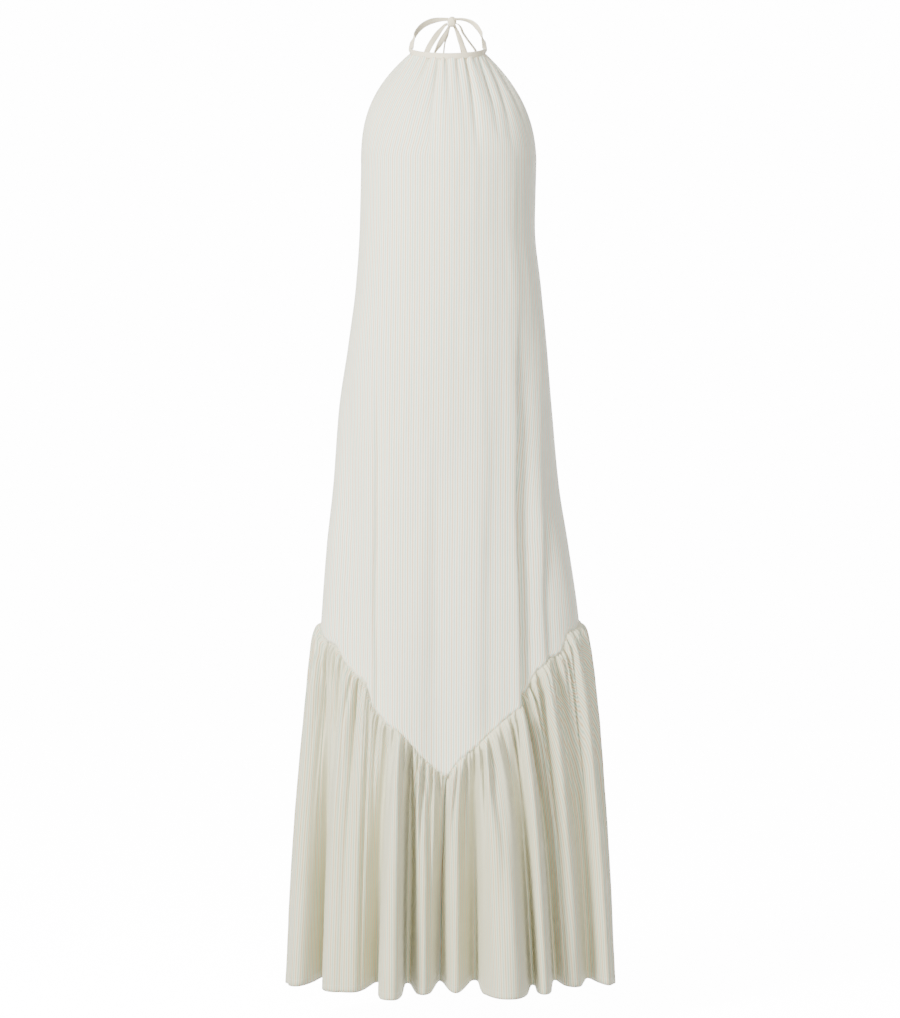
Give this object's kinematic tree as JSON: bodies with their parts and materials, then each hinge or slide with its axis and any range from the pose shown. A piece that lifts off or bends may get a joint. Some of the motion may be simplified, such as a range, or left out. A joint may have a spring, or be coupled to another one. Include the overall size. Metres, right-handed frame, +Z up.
{
  "type": "maxi dress",
  "caption": "Long halter-neck dress in fine striped cloth, gathered to a neckband that ties at the nape, with a deep gathered flounce under a V seam.",
  "frame": {"origin": "middle of the neck opening, level with the neckband's top edge at centre front, where a wearer's neck holds the dress", "axes": "+Z up the dress, towards the neck; the front faces -Y; +X is to the right as seen from the front"},
  "size_m": [0.5122, 0.311, 1.5093],
  "materials": {
    "striped_cloth": "fine matt ivory cloth with narrow tan and grey-green pinstripes",
    "plain_cloth": "plain matt ivory cloth, slightly warmer than the panels"
  },
  "bodies": {
    "root": {"front_panel": "striped_cloth", "back_panel": "striped_cloth", "flounce_front_right": "striped_cloth", "flounce_back_right": "striped_cloth", "flounce_back_left": "striped_cloth", "flounce_front_left": "striped_cloth", "neckband": "plain_cloth", "neck_tie_left": "plain_cloth", "neck_tie_right": "plain_cloth", "bow_knot": "plain_cloth", "bow_loop_left": "plain_cloth", "bow_loop_right": "plain_cloth", "tie_tail_left": "plain_cloth", "tie_tail_right": "plain_cloth"}
  },
  "joints": []
}
